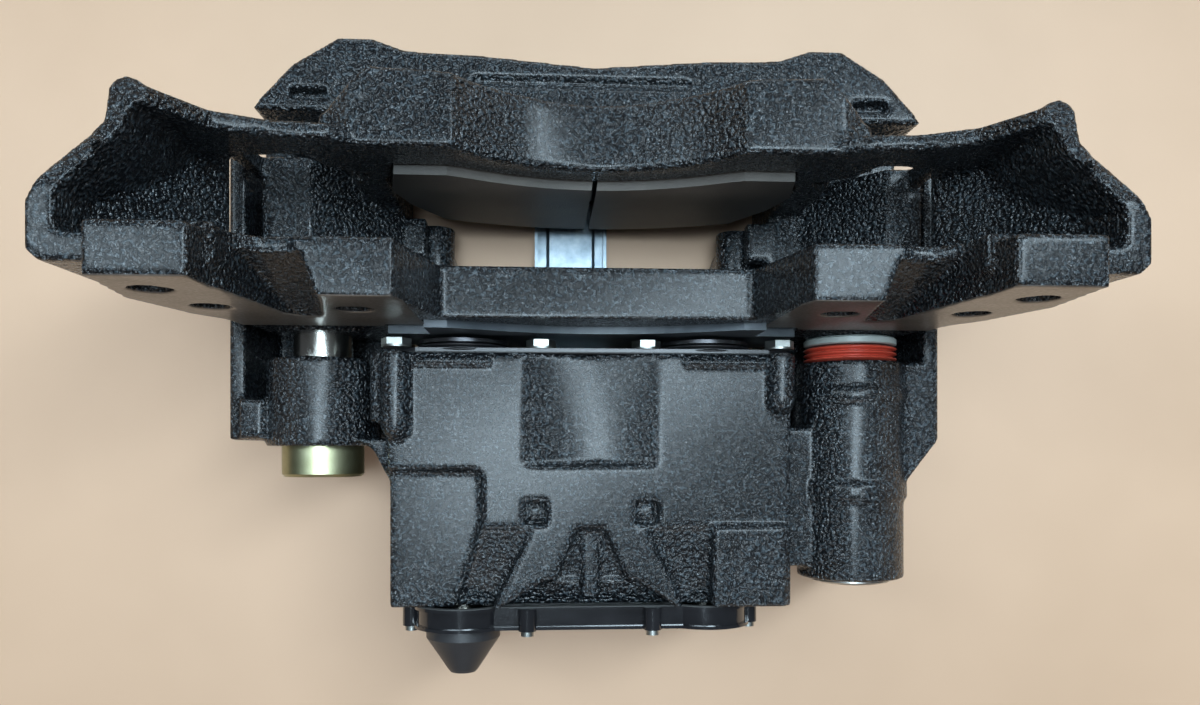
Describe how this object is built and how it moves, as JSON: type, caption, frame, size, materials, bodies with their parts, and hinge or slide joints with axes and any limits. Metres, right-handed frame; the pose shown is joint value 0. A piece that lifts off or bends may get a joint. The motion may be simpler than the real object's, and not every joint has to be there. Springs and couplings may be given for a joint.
{
  "type": "air disc brake caliper",
  "caption": "Sliding air disc brake caliper on its carrier, with paired tappets, guide pins, pads and pad retainer.",
  "frame": {"origin": "centre of the outer pair of mounting holes, on the carrier's machined mounting face", "axes": "+X across the brake along the line of the outer holes, +Y outboard along the wheel axis, +Z towards the hub; the part lies on its radially outer side"},
  "size_m": [0.438, 0.322, 0.2349],
  "materials": {
    "cast_black": "gloss paint over a coarse cast surface, machined mounting faces",
    "steel": "ground steel",
    "zinc_bolt": "zinc plated",
    "grey_ring": "matte grey",
    "cast_black_caliper": "gloss paint over a coarse cast surface",
    "black_rubber": "matte",
    "yellow_zinc": "yellow passivated zinc",
    "bush_brass": "satin",
    "cap_steel": "pressed steel",
    "red_rubber": "satin silicone",
    "plate_black": "satin black",
    "gasket": "matte",
    "dark_steel": "dark phosphated steel",
    "spring_steel": "oiled spring steel",
    "cover_black": "gloss black",
    "backing_steel": "satin dark blue grey",
    "friction": "matte friction compound",
    "galvanised": "galvanised sheet"
  },
  "bodies": {
    "carrier": {"carrier": "cast_black", "short_guide_sleeve": "steel", "short_guide_bolt": "zinc_bolt", "long_guide_sleeve": "steel", "long_guide_bolt": "zinc_bolt", "long_guide_boot_ring": "grey_ring"},
    "caliper": {"caliper_body": "cast_black_caliper", "short_guide_bush": "black_rubber", "short_guide_cap": "yellow_zinc", "long_guide_bushes": "bush_brass", "long_guide_cap": "cap_steel", "long_guide_boot": "red_rubber", "closing_plate": "plate_black", "closing_plate_gasket": "gasket", "closing_plate_bolts": "zinc_bolt", "tappet_boot_left": "black_rubber", "tappet_boot_right": "black_rubber", "lever_bearing_shells": "bush_brass", "return_spring": "spring_steel", "adjuster_chain": "spring_steel", "adjuster_cover": "cover_black", "adjuster_cover_gasket": "gasket", "adjuster_cover_screws": "zinc_bolt", "adjuster_cap": "black_rubber", "pad_retainer": "galvanised", "pad_retainer_pin": "zinc_bolt", "pad_retainer_clip": "spring_steel"},
    "lever": {"lever": "dark_steel"},
    "crossbeam": {"crossbeam": "dark_steel"},
    "tappet_left": {"tappet_left": "dark_steel"},
    "tappet_right": {"tappet_right": "dark_steel"},
    "spindle_left": {"spindle_left": "steel"},
    "spindle_right": {"spindle_right": "steel"},
    "adjuster_shaft": {"adjuster_shaft": "steel"},
    "follower_shaft": {"follower_shaft": "steel"},
    "inboard_pad": {"inboard_backing": "backing_steel", "inboard_friction": "friction", "inboard_pad_spring": "spring_steel"},
    "outboard_pad": {"outboard_backing": "backing_steel", "outboard_friction": "friction", "outboard_pad_spring": "spring_steel"}
  },
  "joints": [
    {"name": "caliper_slide", "type": "slide", "parent": "carrier", "child": "caliper", "axis": [0, -1, 0], "range_m": [0, 0.018], "deforming": ["long_guide_boot"]},
    {"name": "lever_swing", "type": "hinge", "parent": "caliper", "child": "lever", "pos_m": [0, -0.098, -0.125], "axis": [1, 0, 0], "range_deg": [0, 24]},
    {"name": "crossbeam_slide", "type": "slide", "parent": "caliper", "child": "crossbeam", "axis": [0, 1, 0], "range_m": [0, 0.0019], "deforming": ["return_spring"]},
    {"name": "tappet_left_advance", "type": "slide", "parent": "crossbeam", "child": "tappet_left", "axis": [0, 1, 0], "range_m": [0, 0.022], "deforming": ["tappet_boot_left"]},
    {"name": "tappet_right_advance", "type": "slide", "parent": "crossbeam", "child": "tappet_right", "axis": [0, 1, 0], "range_m": [0, 0.022], "deforming": ["tappet_boot_right"]},
    {"name": "spindle_left_turn", "type": "hinge", "parent": "crossbeam", "child": "spindle_left", "pos_m": [-0.068, -0.06, -0.12], "axis": [0, 1, 0], "range_deg": [0, 1990]},
    {"name": "spindle_right_turn", "type": "hinge", "parent": "crossbeam", "child": "spindle_right", "pos_m": [0.06, -0.06, -0.12], "axis": [0, 1, 0], "range_deg": [0, 1990]},
    {"name": "adjuster_turn", "type": "hinge", "parent": "caliper", "child": "adjuster_shaft", "pos_m": [-0.068, -0.1, -0.12], "axis": [0, 1, 0], "range_deg": [0, 1990]},
    {"name": "follower_turn", "type": "hinge", "parent": "caliper", "child": "follower_shaft", "pos_m": [0.06, -0.1, -0.12], "axis": [0, 1, 0], "range_deg": [0, 1990]},
    {"name": "inboard_pad_advance", "type": "slide", "parent": "carrier", "child": "inboard_pad", "axis": [0, 1, 0], "range_m": [0, 0.022]},
    {"name": "outboard_pad_float", "type": "slide", "parent": "caliper", "child": "outboard_pad", "axis": [0, -1, 0], "range_m": [0, 0.003]}
  ],
  "couplings": [
    {"joint": "crossbeam_slide", "follows": "lever_swing", "m_per_rad": 0.0043},
    {"joint": "tappet_right_advance", "follows": "tappet_left_advance", "ratio": 1},
    {"joint": "inboard_pad_advance", "follows": "tappet_left_advance", "ratio": 1},
    {"joint": "spindle_left_turn", "follows": "tappet_left_advance", "rad_per_m": 1570.8},
    {"joint": "spindle_right_turn", "follows": "tappet_left_advance", "rad_per_m": 1570.8},
    {"joint": "adjuster_turn", "follows": "tappet_left_advance", "rad_per_m": 1570.8},
    {"joint": "follower_turn", "follows": "tappet_left_advance", "rad_per_m": 1570.8}
  ]
}
